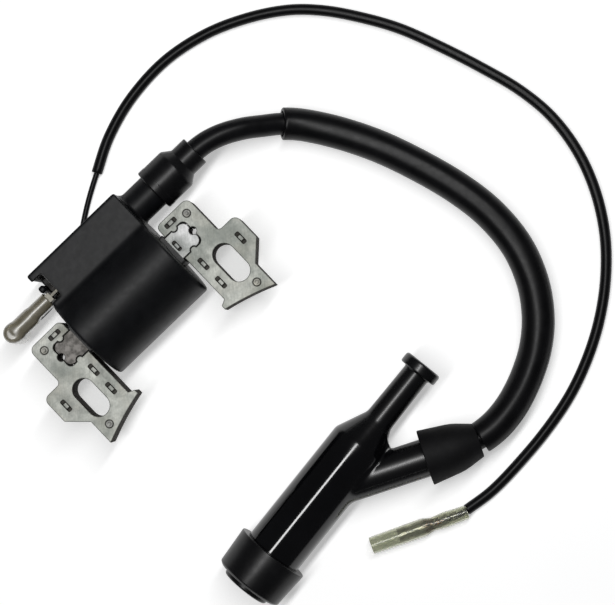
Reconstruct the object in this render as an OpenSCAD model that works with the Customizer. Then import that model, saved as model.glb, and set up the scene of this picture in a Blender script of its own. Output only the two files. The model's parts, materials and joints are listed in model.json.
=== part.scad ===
// Ignition coil of a small single-cylinder engine, with its leads, laid flat.
// Millimetres. Z = 0 is the surface it lies on, +Y is the side away from the flywheel.
// The line through the two mounting slots runs along X.

/* [Core] */
// Distance between the centres of the two mounting slots
slot_spacing = 60; // [56:0.5:64]
// Width of a mounting slot, which clears an M6 bolt
slot_width = 7; // [6.4:0.1:7.4]
// Overall length of a mounting slot
slot_length = 13.6; // [9:0.2:14]
// Thickness of the stack of laminations
core_thickness = 11; // [8:0.5:12]
// Width of the centre bar that carries the windings
bar_width = 8.5; // [7:0.1:9]
// Distance from the slot line to the middle of the centre bar
bar_offset = 15.35; // [14.8:0.05:15.8]
// Distance from the coil's middle to the inner edge of a leg
leg_inner_x = 20.6; // [20.4:0.1:21]
// Distance from the slot line to the far end of a leg
leg_top = 24; // [23.5:0.1:25]
// Distance from the slot line down to the outer pole tip
pole_drop = 14.3; // [14:0.1:15]
// Radius of the concave pole faces, around the flywheel's axis
pole_radius = 90; // [80:1:110]

/* [Case] */
// Length of the moulded case along the core bar
case_length = 37.6; // [36:0.2:38]
// Outer radius of the drum around the windings
drum_radius = 15.8; // [15.5:0.1:16.2]
// Height of the core's middle plane over the flat underside
axis_height = 14.6; // [14.4:0.1:14.8]
// Distance from the slot line to the far side of the electronics pod
pod_far = 40; // [39:0.5:42]
// Thickness of the electronics pod
pod_thickness = 23; // [20:0.5:24]
// Wall of the case
wall = 1.8; // [1.5:0.1:2]
// Outer diameter of the tower that takes the high-tension lead
tower_diameter = 11.4; // [10.4:0.2:12]

/* [Leads] */
// Diameter of the high-tension lead
lead_diameter = 7; // [6.6:0.1:7]
// Outer diameter of the sleeve over the high-tension lead
sleeve_diameter = 10.3; // [9.8:0.1:10.4]
// Diameter of the stop wire
wire_diameter = 1.8; // [1.4:0.1:1.8]
// Outer diameter of the tube over the stop wire
tube_diameter = 3.5; // [3:0.1:3.6]

/* [Spark plug cap] */
// Outer diameter of the cap's barrel
barrel_diameter = 18.6; // [18:0.1:19]
// Bore of the barrel, which clears the spark plug's insulator
barrel_bore = 14; // [13:0.5:15]
// Outer diameter of the side arm
arm_diameter = 12; // [11.6:0.1:12.4]
// Angle between the side arm and the cap's grip
arm_angle = 32.8; // [30:0.1:36]
// Outer diameter of the rubber boot on the barrel's mouth
boot_diameter = 23.8; // [22.8:0.2:23.8]

/* [Hidden] */
$fn = 64;

// a cut goes this much past the face it opens
cut = 1;
// half the length of a cut that goes right through the coil
through = 50;
// the slot line's place, which centres the coil on the origin along Y
slot_line_y = -(pod_far - pole_drop) / 2;

// --- core outline, from the slot line's middle ---
leg_outer_x = 33.9;
ear_outer_x = 41.1;
ear_top = 9.8;
ear_bottom = 0.3;
pole_outer_x = 35.2;
pole_shoulder_y = -5.4;
toe_inner_x = 18.6;
toe_top = -7.6;
toe_step = 0.9;
inner_corner_r = 1.8;
outer_corner_r = 2.2;
ear_fillet = 1.4;
// centre of the pole arc, from the height of the outer pole tip
pole_centre_y = -pole_drop - sqrt(pow(pole_radius, 2) - pow(pole_outer_x, 2));
bar_head_x = 28.2;
bar_head_r = 1.4;
bar_notch_x = 24.4;
bar_notch_r = 1.3;
bar_notch_out = 0.4;
bar_lock_x = 21.3;
seam = 0.08;
lock_hole_r = 1.2;
rivet_r = 1.25;
rivets = [[30.5, 20.5], [31.5, -9.8]];
// raised locks pressed through the laminations: x, y, and whether it runs along X
locks = [[24.9, 21.8, true], [37.3, 3.5, false], [23.5, 5.6, false], [23.5, -2.2, false]];
lock_length = 4.2;
lock_width = 1.5;
lock_depth = 0.4;
// the pocket at each end of a lock, beside its bridge
lock_pocket = 1.3;
lock_bridge_t = 0.48;
rivet_proud = 0.15;

// --- case and windings ---
case_end = case_length / 2;
pod_end = case_end - 0.6;
pod_near = bar_offset;
tower_y = 33.35;
tower_end = 37.2;
tower_floor = 21;
cavity_r = drum_radius - wall - 0.2;
cavity_end = case_end - 1.6;
pod_half = pod_thickness / 2;
notch_x = 14.2;
notch_near = 28.6;
notch_far = pod_far - 2.4;
notch_floor = -3;
drum_edge = 1.2;
pod_edge = 1.5;
pod_open_edge = 0.5;
// the raised pad beside the notch, from its left near corner to its right far one
pad_low = [-18.2, 24.6, 0];
pad_high = [-15.8, 28.4, 11.1];
post_y = 35;
post_r = 1.1;
post_h = 14.5;
contact_r = 0.8;
contact_head_r = 2.6;
contact_start = 12;
resin_gap = 1.4;
notch_resin_gap = 1.2;
bobbin_corner_r = 0.8;
bobbin_wall = 1;
bobbin_y = bar_width + 0.4 + 2 * bobbin_wall;
bobbin_z = core_thickness + 0.4 + 2 * bobbin_wall;
bobbin_end = leg_inner_x - 0.4;
primary_end = 15.2;
primary_build = 1.3;
primary_corner_r = 2.4;
flange_t = 0.8;
secondary_r = 9.9;
secondary_wall = 0.8;
secondary_outer = 13.4;
secondary_end = 16;
secondary_slots = 7;
slot_pitch = (2 * secondary_end - flange_t) / secondary_slots;
board_y = 35.6;
board_t = 1.4;
board_half_z = 8.5;
board_x = [-11, 14];
transistor_y = [31.2, 34.4];
transistor_leg_r = 0.4;
transistor_leg_pitch = 2.5;
capacitor_at = [10, 31.4, 3.6];
capacitor_r = 2.6;
// two resistors and a diode: place along X, radius and length
small_parts = [[-8.5, 1.1, 6], [7.2, 1.1, 6], [10.6, 0.9, 5]];
small_parts_z = -7.6;
solder_gap = 0.3;

// --- stop terminal ---
tab_y = 31.35;
tab_z = 2.4;
tab_t = 0.8;
tab_h = 4.8;
tab_start = -24;
tab_end = -9;
flag_x = -33.6;
flag_bottom = -5.1;
flag_top = 4.2;
flag_r = 1.6;
clamp_start = -25;
clamp_end = -17.4;
clamp_half_y = 1.4;
clamp_half_z = 2.8;
sleeve_end_x = -19.6;
sleeve_bulge_x = -25.5;
lobe_r = 3.2;
lobe_bottom = -7.1;
lobe_h = 13.4;

// --- tower cap ---
bell_start = 27.8;
bell_end = 38.2;
collar_start = 40.6;
collar_end = 45.7;
bell_r = 7.2;
collar_r = 5.05;
lead_r = lead_diameter / 2;

// --- spark plug cap, from the point where its two axes cross ---
cap_at = [0.6, -82.9, 11.9];
cap_turn = 7.5;
// the barrel's own end, inside the boot
barrel_end = -35;
cap_bore_floor = -14;
shoulder_start = 18.8;
shoulder_end = 29.3;
stub_r = 4.35;
grip_start = 47.1;
grip_end = 50.8;
grip_r = 6.4;
grip_chamfer = 0.8;
// outline of the web that fills the crotch between grip and arm
web_outline = [[10, -2], [27, -2], [25.2, -6.2], [22.6, -12], [10, -9]];
web_t = 6;
inner_bore_r = 4.3;
inner_bore_end = 4;
screw_bore_r = 1.6;
arm_end = 40;
arm_bore_floor = 25;
lead_stop = 26;
seal_start = 33.8;
seal_end = 51.3;
seal_r = 8.8;
seal_tip_r = 5.2;
boot_start = -23.8;
boot_end = -36.2;
boot_lip_end = -38;
boot_lip_r = 7.9;
boot_lip_bore = 6.2;
boot_taper = 0.8;
boot_corner = 1.4;
// plug terminal inside the barrel
terminal_start = -20;
terminal_r = 4.25;
terminal_flange_r = 5;
terminal_flange_t = 1.2;
terminal_bore_r = 3.25;
terminal_bore_end = -8;
clip_x = -16;
clip_ring_r = 4.3;
screw_r = 1.4;
screw_start = 1.1;
screw_end = 24.8;
seal_mouth_r = 7.6;
seal_mouth_depth = 1.4;

// --- bullet connector, from its open end ---
bullet_at = [-0.3, -105.85, 3];
bullet_turn = -24.15;
bullet_bore = 1.95;
bullet_stop = 18.4;
// outlines of [place along it, radius]
bullet_outline = [
    [9, 2.3], [12.2, 2.3], [12.5, 2.15], [13.3, 2.15], [13.6, 2.3], [18.8, 2.3], [19.6, 1.85], [22.8, 1.85]
];
bullet_sleeve_outline = [
    [0, 2.65], [14.5, 2.85], [18, 2.9], [20.8, 2.35], [24.6, 2.55], [31.8, 2.35]
];
bullet_sleeve_bore = [
    [-1, 2.25], [9, 2.35], [14.5, 2.4], [19, 2.4], [20.2, 1.95], [24.6, 2.05], [32.8, 1.95]
];
// the two crimps, on the conductor and on the insulation: start, end, radius and bore
crimps = [[22.8, 25.4, 1.85, 0.95], [26.2, 28.4, 1.6, 1.1]];
neck_bore = 1.5;
strands = [20.9, 24.5, 0.7];

// --- routes of the leads, each from the coil to its far end ---
ht_route = [
    [21.8, 20.5, 14.6], [33, 20.5, 14.6], [46, 20.5, 14.6], [53.5, 19, 14], [60.5, 15.8, 11.9],
    [66.3, 12, 8.8], [71.2, 8.4, 6.4], [76, 3.2, 5.3], [82, -6, 5.2], [88, -17.8, 5.2],
    [92.9, -31, 5.2], [96.6, -44.5, 5.2], [98.3, -57, 5.2], [97.3, -69.5, 5.2], [93.2, -80.8, 5.3],
    [87, -89.8, 5.5], [79.5, -96.4, 6.3], [71.2, -101, 8], [63, -103.9, 10.1], [56, -105.1, 11.5],
    [50.5, -105, 11.9], [45.5, -103.9, 11.9], [40, -101.5, 11.9], [33, -98.2, 11.9], [24.1, -94, 11.9]
];
// the sleeve covers the high-tension lead between these two points of its route
sleeve_first = 6;
sleeve_last = 20;
stop_route = [
    [-33.6, 18.5, 16.5], [-33.6, 18.5, 8], [-33.2, 18.5, 4.6], [-31.6, 18.5, 2.2], [-28.5, 18.5, 1],
    [-22, 18.6, 0.95], [-15, 19.8, 0.95], [-8, 22.4, 0.95], [-1.5, 26.4, 0.95], [4.6, 30.9, 0.95],
    [11, 35, 1.2], [18.2, 38.9, 1.8], [29, 44.5, 1.8], [42.5, 48.4, 1.8], [58, 49.4, 1.8],
    [73, 46.6, 1.8], [86, 41.1, 1.8], [97, 34, 1.8], [105, 26, 1.8], [112, 16.2, 1.8],
    [118.4, 5, 1.8], [123.6, -8, 1.8], [128.2, -21.6, 1.8], [131.9, -35, 1.8], [133.3, -48, 1.8],
    [131.6, -61.3, 1.8], [127, -74, 1.8], [119.8, -85.8, 1.8], [110.8, -95.6, 1.8], [100.6, -103.6, 1.8],
    [89.4, -109.9, 1.8], [77, -114.7, 1.8], [63.6, -117.6, 1.8], [50, -119.1, 1.8], [39, -119.5, 1.8],
    [30.4, -118.5, 2.2], [26.2, -117.7, 2.9], [22.1, -115.9, 3]
];
// the tube covers the stop wire between these two points of its route
tube_first = 11;
tube_last = 35;

// --- sweeping a lead along its route ---
function bend(a, b, c, d, t) =
    0.5 * (2 * b + (c - a) * t + (2 * a - 5 * b + 4 * c - d) * t * t + (3 * b - a - 3 * c + d) * t * t * t);
function smooth(p, steps) = [
    for (i = [0:len(p) - 2], k = [0:steps - 1])
        bend(p[max(i - 1, 0)], p[i], p[i + 1], p[min(i + 2, len(p) - 1)], k / steps),
    p[len(p) - 1]
];
function part_of(p, first, last) = [for (i = [first:last]) p[i]];
function unit(v) = v / norm(v);
function heading(p, i) = unit(p[min(i + 1, len(p) - 1)] - p[max(i - 1, 0)]);
// a sideways direction carried along the route without twisting
function carried(p, i, side) =
    i == len(p) ? [] :
    let (t = heading(p, i), s = unit(side - (side * t) * t))
    concat([s], carried(p, i + 1, s));
function rings(p, r, sides) =
    let (across = carried(p, 0, [0, 1, 0]))
    [
        for (i = [0:len(p) - 1], k = [0:sides - 1])
            let (a = 360 * (k + 0.5) / sides, s = across[i], u = cross(heading(p, i), s))
            p[i] + r * (cos(a) * s + sin(a) * u)
    ];
function wall_faces(count, sides, base, flip) = [
    for (i = [0:count - 2], k = [0:sides - 1])
        let (
            a = base + i * sides + k,
            b = base + i * sides + (k + 1) % sides,
            quad = [a, b, b + sides, a + sides]
        )
        flip ? [quad[3], quad[2], quad[1], quad[0]] : quad
];

// a solid lead
module cord(p, r, sides) {
    last = (len(p) - 1) * sides;
    start_cap = [for (k = [sides - 1:-1:0]) k];
    end_cap = [for (k = [0:sides - 1]) last + k];
    faces = concat(wall_faces(len(p), sides, 0, false), [start_cap], [end_cap]);
    polyhedron(points = rings(p, r, sides), faces = [for (f = faces) reverse_of(f)]);
}

// a tube with an open bore, to go over a lead
module cord_sleeve(p, r, bore_r, sides) {
    n = len(p);
    inner = n * sides;
    last = (n - 1) * sides;
    mouth = [for (k = [0:sides - 1]) let (j = (k + 1) % sides) [inner + k, inner + j, j, k]];
    tail = [
        for (k = [0:sides - 1])
            let (j = (k + 1) % sides)
            [last + k, last + j, inner + last + j, inner + last + k]
    ];
    faces = concat(wall_faces(n, sides, 0, false), wall_faces(n, sides, inner, true), mouth, tail);
    points = concat(rings(p, r, sides), rings(p, bore_r, sides));
    polyhedron(points = points, faces = [for (f = faces) reverse_of(f)]);
}
function reverse_of(f) = [for (k = [len(f) - 1:-1:0]) f[k]];

// --- shared shapes ---
module coil_frame() {
    translate([0, slot_line_y, axis_height]) children();
}

module cap_frame() {
    translate(cap_at) rotate([0, 0, cap_turn]) children();
}

// the side arm's own frame: +X runs out along the arm
module arm_frame() {
    cap_frame() rotate([0, 0, -arm_angle]) children();
}

module bullet_frame() {
    translate(bullet_at) rotate([0, 0, bullet_turn]) children();
}

// a cylinder along X between two places
module rod_x(x0, x1, r) {
    translate([x0, 0, 0]) rotate([0, 90, 0]) cylinder(h = x1 - x0, r = r);
}

// a turned shape along X, from points of [x, radius]
module turned_x(profile) {
    rotate([0, 90, 0]) rotate_extrude() polygon([for (p = profile) [p[1], p[0]]]);
}

// the same, closed to the axis at both ends
module closed_turned_x(profile) {
    last = profile[len(profile) - 1];
    turned_x(concat([[profile[0][0], 0]], profile, [[last[0], 0]]));
}

// a box between two corners
module block(low, high) {
    translate(low) cube(high - low);
}

module rounded_rect(w, h, r) {
    square([w - 2 * r, h], center = true);
    square([w, h - 2 * r], center = true);
    for (x = [-1, 1], y = [-1, 1])
        translate([x * (w / 2 - r), y * (h / 2 - r)]) circle(r = r);
}

// what rounding a square corner takes away, for the corner that points to (sx, sy)
module corner_waste(at, r, sx, sy) {
    translate([at[0] - (sx > 0 ? r : 0), at[1] - (sy > 0 ? r : 0)])
        difference() {
            square(r);
            translate([sx > 0 ? 0 : r, sy > 0 ? 0 : r]) circle(r = r);
        }
}

// a rounded rectangular tube or bar along X, in the coil's frame
module along_bar(x0, x1, w, h, r) {
    translate([x0, bar_offset, 0])
        rotate([90, 0, 90])
            linear_extrude(x1 - x0) rounded_rect(w, h, r);
}

// --- core ---
module bar_outline(grow) {
    difference() {
        translate([0, bar_offset]) rounded_rect(2 * (bar_head_x + grow), bar_width + 2 * grow, bar_head_r);
        for (x = [-1, 1], y = [-1, 1])
            translate([x * bar_notch_x, bar_offset + y * (bar_width / 2 + bar_notch_out)])
                circle(r = bar_notch_r - grow);
    }
}

module slot_outline() {
    run = (slot_length - slot_width) / 2;
    square([slot_width, 2 * run], center = true);
    for (y = [-run, run]) translate([0, y]) circle(d = slot_width);
}

module leg_outline() {
    fillet_x = leg_outer_x + ear_fillet;
    fillet_y = ear_top + ear_fillet;
    difference() {
        polygon([
            [leg_inner_x, leg_top], [leg_outer_x, leg_top], [leg_outer_x, fillet_y],
            [fillet_x, fillet_y], [fillet_x, ear_top],
            [ear_outer_x, ear_top], [ear_outer_x, ear_bottom], [pole_outer_x, pole_shoulder_y],
            [pole_outer_x, -pole_drop - cut], [toe_inner_x, -pole_drop - cut],
            [toe_inner_x, toe_top], [leg_inner_x, toe_top + toe_step]
        ]);
        translate([0, pole_centre_y]) circle(r = pole_radius, $fn = 360);
        corner_waste([leg_inner_x, leg_top], inner_corner_r, -1, 1);
        corner_waste([leg_outer_x, leg_top], outer_corner_r, 1, 1);
        corner_waste([ear_outer_x, ear_top], outer_corner_r, 1, 1);
        translate([fillet_x, fillet_y]) circle(r = ear_fillet);
        translate([slot_spacing / 2, 0]) slot_outline();
        bar_outline(seam);
        translate([bar_head_x, bar_offset]) circle(r = lock_hole_r);
        for (r = rivets) translate(r) circle(r = rivet_r);
    }
}

// a pressed lock: a shallow trough with a raised bridge in the middle
module lock_recess(along_x) {
    rotate([0, 0, along_x ? 0 : 90])
        difference() {
            cube([lock_length, lock_width, 2 * lock_depth], center = true);
            cube([lock_length - 2 * lock_pocket, lock_width + cut, lock_bridge_t], center = true);
        }
}

module core_leg_right() {
    color("gainsboro")
        coil_frame()
            difference() {
                linear_extrude(core_thickness, center = true) leg_outline();
                for (l = locks)
                    translate([l[0], l[1], core_thickness / 2]) lock_recess(l[2]);
            }
}

module core_leg_left() {
    mirror([1, 0, 0]) core_leg_right();
}

module core_bar() {
    color("silver")
        coil_frame()
            difference() {
                linear_extrude(core_thickness, center = true)
                    difference() {
                        bar_outline(0);
                        for (x = [-1, 1])
                            translate([x * bar_head_x, bar_offset]) circle(r = lock_hole_r);
                    }
                translate([bar_lock_x, bar_offset, core_thickness / 2]) lock_recess(false);
            }
}

// the pins that hold the laminations together, one node for all four
module core_rivets() {
    color("lightgray")
        coil_frame()
            for (side = [-1, 1], r = rivets)
                translate([side * r[0], r[1], 0])
                    cylinder(h = core_thickness + 2 * rivet_proud, r = rivet_r - 0.02, center = true);
}

// --- case ---
module drum() {
    translate([0, bar_offset, 0])
        rotate([0, 90, 0])
            rotate_extrude($fn = 128)
                difference() {
                    translate([0, -case_end]) square([drum_radius, case_length]);
                    corner_waste([drum_radius, case_end], drum_edge, 1, 1);
                    corner_waste([drum_radius, -case_end], drum_edge, 1, -1);
                }
}

module pod() {
    translate([0, 0, -pod_half])
        linear_extrude(pod_thickness)
            difference() {
                translate([-pod_end, pod_near]) square([pod_end + case_end, pod_far - pod_near]);
                corner_waste([case_end, pod_far], pod_edge, 1, 1);
                corner_waste([-pod_end, pod_far], pod_open_edge, -1, 1);
            }
}

module pod_cavity(x0, x1) {
    block([x0, bar_offset, -pod_half + wall], [x1, pod_far - wall, pod_half - wall]);
}

module coil_case() {
    color("#1b1c1e")
        coil_frame() {
            difference() {
                union() {
                    drum();
                    pod();
                    translate([0, tower_y, 0]) rod_x(case_end - cut, tower_end, tower_diameter / 2);
                    // pad beside the terminal notch
                    block(pad_low, pad_high);
                }
                // flat underside
                block([-2 * case_end, -pod_far, -2 * axis_height], [2 * tower_end, 2 * pod_far, -axis_height]);
                // drum cavity, open at the left end
                translate([0, bar_offset, 0]) rod_x(-case_end - cut, cavity_end, cavity_r);
                pod_cavity(-pod_end - cut, cavity_end);
                // notch over the stop terminal
                block([-pod_end - cut, notch_near, notch_floor], [-notch_x, notch_far, pod_half + cut]);
                // window for the bobbin in the right end
                along_bar(cavity_end - cut, case_end + cut, bobbin_y + 0.1, bobbin_z + 0.1, bobbin_corner_r);
                // socket of the tower, and the hole for its contact
                translate([0, tower_y, 0]) rod_x(tower_floor, tower_end + cut, lead_r + 0.1);
                translate([0, tower_y, 0]) rod_x(cavity_end - cut, tower_floor + cut, contact_r);
            }
            // post in the open end of the pod
            translate([-pod_end - 0.1, post_y, -pod_half + 0.5]) cylinder(h = post_h, r = post_r);
        }
}

// the resin fills the drum and the pod, and lies low under the stop terminal
module potting_resin() {
    color("#26221e")
        coil_frame()
            difference() {
                union() {
                    translate([0, bar_offset, 0]) rod_x(-case_end + resin_gap, cavity_end, cavity_r);
                    pod_cavity(-notch_x, cavity_end);
                    block([notch_resin_gap - pod_end, notch_near, -pod_half + wall],
                          [cut - notch_x, notch_far, notch_floor]);
                }
                along_bar(-through, through, bobbin_y, bobbin_z, bobbin_corner_r);
                translate([0, bar_offset, 0]) rod_x(-secondary_end, secondary_end, secondary_outer);
                board_envelope();
                transistor_body();
                transistor_legs();
                component_bodies();
                tab_blade();
                contact_pin();
            }
}

module primary_bobbin() {
    color("#18181a")
        coil_frame()
            difference() {
                union() {
                    along_bar(-bobbin_end, bobbin_end, bobbin_y, bobbin_z, bobbin_corner_r);
                    for (side = [-1, 1])
                        translate([side * (primary_end + flange_t / 2), bar_offset, 0])
                            rotate([0, 90, 0])
                                cylinder(h = flange_t, r = secondary_r - 0.1, center = true);
                }
                along_bar(-through, through, bar_width + 0.2, core_thickness + 0.2, 0.2);
            }
}

module primary_winding() {
    color("peru")
        coil_frame()
            difference() {
                along_bar(-primary_end, primary_end, bobbin_y + 2 * primary_build,
                          bobbin_z + 2 * primary_build, primary_corner_r);
                along_bar(-through, through, bobbin_y, bobbin_z, bobbin_corner_r);
            }
}

module secondary_bobbin() {
    color("#18181a")
        coil_frame()
            translate([0, bar_offset, 0])
                difference() {
                    union() {
                        rod_x(-secondary_end, secondary_end, secondary_r + secondary_wall);
                        for (i = [0:secondary_slots])
                            let (x = -secondary_end + i * slot_pitch)
                                rod_x(x, x + flange_t, secondary_outer);
                    }
                    rod_x(-through, through, secondary_r);
                }
}

module secondary_winding() {
    color("chocolate")
        coil_frame()
            translate([0, bar_offset, 0])
                difference() {
                    for (i = [0:secondary_slots - 1])
                        let (x = -secondary_end + i * slot_pitch + flange_t)
                            rod_x(x, x + slot_pitch - flange_t, secondary_outer - 0.3);
                    rod_x(-through, through, secondary_r + secondary_wall);
                }
}

// --- electronics in the pod ---
module board_envelope() {
    block([board_x[0], board_y, -board_half_z], [board_x[1], board_y + board_t, board_half_z]);
}

module transistor_body() {
    block([-5, transistor_y[0], -5], [5, transistor_y[1], 4]);
}

module transistor_legs() {
    start = transistor_y[1] - 0.4;
    for (i = [-1:1])
        translate([i * transistor_leg_pitch, start, 2.6])
            rotate([-90, 0, 0]) cylinder(h = board_y - start, r = transistor_leg_r);
}

module component_bodies() {
    // storage capacitor
    translate(capacitor_at) rotate([-90, 0, 0]) cylinder(h = board_y - capacitor_at[1], r = capacitor_r);
    // the small ones stand just off the board
    for (p = small_parts)
        translate([p[0], board_y - p[1] - solder_gap, small_parts_z]) cylinder(h = p[2], r = p[1]);
}

module circuit_board() {
    color("darkgreen") coil_frame() board_envelope();
}

module power_transistor() {
    color("#202020")
        coil_frame() {
            transistor_body();
            transistor_legs();
        }
}

module board_components() {
    color("tan") coil_frame() component_bodies();
}

module contact_pin() {
    translate([0, tower_y, 0]) rod_x(contact_start, tower_floor + 0.1, contact_r);
}

// the contact at the bottom of the tower, which the lead's conductor presses on
module ht_contact() {
    color("goldenrod")
        coil_frame() {
            contact_pin();
            translate([0, tower_y, 0]) rod_x(tower_floor, tower_floor + contact_r, contact_head_r);
        }
}

// --- stop terminal ---
module tab_blade() {
    half = tab_h / 2;
    translate([0, tab_y + tab_t / 2, 0])
        rotate([90, 0, 0])
            linear_extrude(tab_t)
                polygon([
                    [tab_end, tab_z + half], [tab_start + 1.4, tab_z + half],
                    [tab_start, tab_z + half - 1], [tab_start, tab_z - half + 1],
                    [tab_start + 1.4, tab_z - half], [tab_end, tab_z - half]
                ]);
    block([tab_end - tab_t, tab_y - tab_t / 2, tab_z - 1.5], [tab_end, board_y, tab_z + 1.5]);
}

module stop_tab() {
    color("lightsteelblue")
        coil_frame()
            difference() {
                tab_blade();
                translate([tab_start + 3, tab_y + cut, tab_z])
                    rotate([90, 0, 0]) cylinder(h = 2 * cut, r = 0.8);
            }
}

// female terminal, with its barrel turned down at right angles to the tab
module flag_terminal() {
    color("silver")
        coil_frame() {
            difference() {
                block([clamp_start, tab_y - clamp_half_y, tab_z - clamp_half_z],
                      [clamp_end, tab_y + clamp_half_y, tab_z + clamp_half_z]);
                block([clamp_start - cut, tab_y - tab_t / 2 - 0.05, tab_z - tab_h / 2 - 0.05],
                      [clamp_end + cut, tab_y + tab_t / 2 + 0.05, tab_z + tab_h / 2 + 0.05]);
                // the gap between the two rolled edges
                block([clamp_start - cut, tab_y, tab_z - 0.8],
                      [clamp_end + cut, tab_y + clamp_half_y + cut, tab_z + 0.8]);
            }
            block([flag_x + 1.2, tab_y - clamp_half_y, tab_z - 1.8],
                  [clamp_start, tab_y - clamp_half_y + 0.5, tab_z + 1.8]);
            difference() {
                translate([flag_x, tab_y, flag_bottom]) cylinder(h = flag_top - flag_bottom, r = flag_r);
                translate([flag_x, tab_y, flag_bottom - cut]) cylinder(h = 7.2 + cut, r = 1);
            }
        }
}

module stadium_x(x0, x1, w, h) {
    translate([x0, tab_y, tab_z])
        rotate([90, 0, 90])
            linear_extrude(x1 - x0) {
                square([w, h - w], center = true);
                for (z = [-1, 1]) translate([0, z * (h - w) / 2]) circle(d = w);
            }
}

// soft sleeve over the terminal, with a branch down to the wire
module flag_sleeve() {
    color("#d8d4c8", 0.7)
        coil_frame()
            difference() {
                union() {
                    stadium_x(flag_x, sleeve_end_x, 5, 7.8);
                    stadium_x(flag_x, sleeve_bulge_x, 5.8, 7.8);
                    translate([flag_x, tab_y, lobe_bottom])
                        rotate_extrude()
                            difference() {
                                square([lobe_r, lobe_h]);
                                corner_waste([lobe_r, lobe_h], lobe_r / 2, 1, 1);
                            }
                }
                stadium_x(flag_x, sleeve_end_x + cut, 4, 6.9);
                translate([flag_x, tab_y, lobe_bottom - cut]) cylinder(h = lobe_h - 1.6 + cut, r = 2.4);
            }
}

// --- high-tension lead ---
module tower_cap() {
    color("#141414")
        coil_frame()
            translate([0, tower_y, 0])
                difference() {
                    turned_x([
                        [bell_start, 0], [bell_start, bell_r], [bell_end, bell_r],
                        [collar_start, collar_r], [collar_end, collar_r], [collar_end, 0]
                    ]);
                    rod_x(bell_start - cut, tower_end + 0.1, tower_diameter / 2 + 0.02);
                    rod_x(tower_end, collar_end + cut, lead_r + 0.05);
                }
}

module ht_lead() {
    color("#161616") cord(ht_route, lead_r, 12);
}

module ht_lead_sleeve() {
    color("#101010")
        cord_sleeve(part_of(ht_route, sleeve_first, sleeve_last), sleeve_diameter / 2, lead_r + 0.4, 12);
}

// --- stop wire ---
module stop_wire() {
    color("#202020") cord(smooth(stop_route, 2), wire_diameter / 2, 8);
}

module stop_wire_tube() {
    all = smooth(stop_route, 2);
    color("#0e0e0e")
        cord_sleeve(part_of(all, 2 * tube_first, 2 * tube_last), tube_diameter / 2,
                    wire_diameter / 2 + 0.25, 8);
}

module bullet_receptacle() {
    color("silver")
        bullet_frame() {
            difference() {
                closed_turned_x(bullet_outline);
                rod_x(bullet_outline[0][0] - cut, bullet_stop, bullet_bore);
                rod_x(bullet_stop - cut, crimps[0][0] + cut, neck_bore);
                // only the lower half of the neck joins the barrel to the crimp
                block([19.8, -3, 0.2], [crimps[0][0] - 0.2, 3, 3]);
            }
            for (c = crimps)
                difference() {
                    rod_x(c[0], c[1], c[2]);
                    rod_x(c[0] - cut, c[1] + cut, c[3]);
                }
            block([crimps[0][1], -0.6, -1.5], [crimps[1][0], 0.6, -1.2]);
        }
}

module wire_strands() {
    color("#b06a3a") bullet_frame() rod_x(strands[0], strands[1], strands[2]);
}

module bullet_sleeve() {
    color("#b8c0a0", 0.6)
        bullet_frame()
            difference() {
                closed_turned_x(bullet_sleeve_outline);
                closed_turned_x(bullet_sleeve_bore);
            }
}

// --- spark plug cap ---
module plug_cap_body() {
    barrel_r = barrel_diameter / 2;
    arm_r = arm_diameter / 2;
    color("#0c0c0e")
        difference() {
            union() {
                cap_frame()
                    turned_x([
                        [barrel_end, 0], [barrel_end, barrel_r], [shoulder_start, barrel_r],
                        [shoulder_end, stub_r], [grip_start, stub_r], [grip_start, grip_r],
                        [grip_end - grip_chamfer, grip_r], [grip_end, grip_r - grip_chamfer], [grip_end, 0]
                    ]);
                arm_frame() rod_x(0, arm_end, arm_r);
                // web that fills the crotch between grip and arm
                cap_frame() translate([0, 0, -web_t / 2]) linear_extrude(web_t) polygon(web_outline);
            }
            cap_frame() rod_x(barrel_end - cut, cap_bore_floor, barrel_bore / 2);
            cap_frame() rod_x(cap_bore_floor - cut, inner_bore_end, inner_bore_r);
            arm_frame() rod_x(arm_bore_floor, arm_end + cut, lead_r + 0.2);
            arm_frame() rod_x(0, arm_bore_floor + cut, screw_bore_r);
        }
}

module plug_terminal() {
    color("goldenrod")
        cap_frame()
            difference() {
                union() {
                    rod_x(terminal_start, inner_bore_end, terminal_r);
                    rod_x(terminal_start, terminal_start + terminal_flange_t, terminal_flange_r);
                }
                rod_x(terminal_start - cut, terminal_bore_end, terminal_bore_r);
                // slits that let the socket spring over the plug's nut
                block([terminal_start - cut, -0.4, -6], [terminal_bore_end - 2, 0.4, 6]);
                // groove for the clip
                translate([clip_x, 0, 0])
                    rotate([0, 90, 0])
                        rotate_extrude() translate([clip_ring_r, 0]) circle(r = 0.5, $fn = 24);
                rotate([0, 0, -arm_angle]) rod_x(screw_start - 0.1, 12, screw_r + 0.1);
            }
}

module terminal_clip() {
    color("silver")
        cap_frame()
            translate([clip_x, 0, 0])
                rotate([0, 90, 0])
                    rotate([0, 0, 60])
                        rotate_extrude(angle = 300) translate([clip_ring_r, 0]) circle(r = 0.45, $fn = 24);
}

// the screw that the lead is turned on to
module lead_screw() {
    color("silver")
        arm_frame() {
            rod_x(screw_start, screw_end, screw_r);
            closed_turned_x([[screw_end, screw_r], [lead_stop - 0.1, 0.4]]);
        }
}

module lead_seal() {
    color("#161616")
        arm_frame()
            difference() {
                turned_x([
                    [seal_start, 0], [seal_start, seal_r], [seal_end, seal_tip_r], [seal_end, 0]
                ]);
                rod_x(seal_start - cut, arm_end + 0.1, arm_diameter / 2 + 0.02);
                turned_x([
                    [seal_start - cut, 0], [seal_start - cut, seal_mouth_r], [seal_start, seal_mouth_r],
                    [seal_start + seal_mouth_depth, arm_diameter / 2], [seal_start + seal_mouth_depth, 0]
                ]);
                rod_x(arm_end, seal_end + cut, lead_r + 0.7);
            }
}

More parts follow.
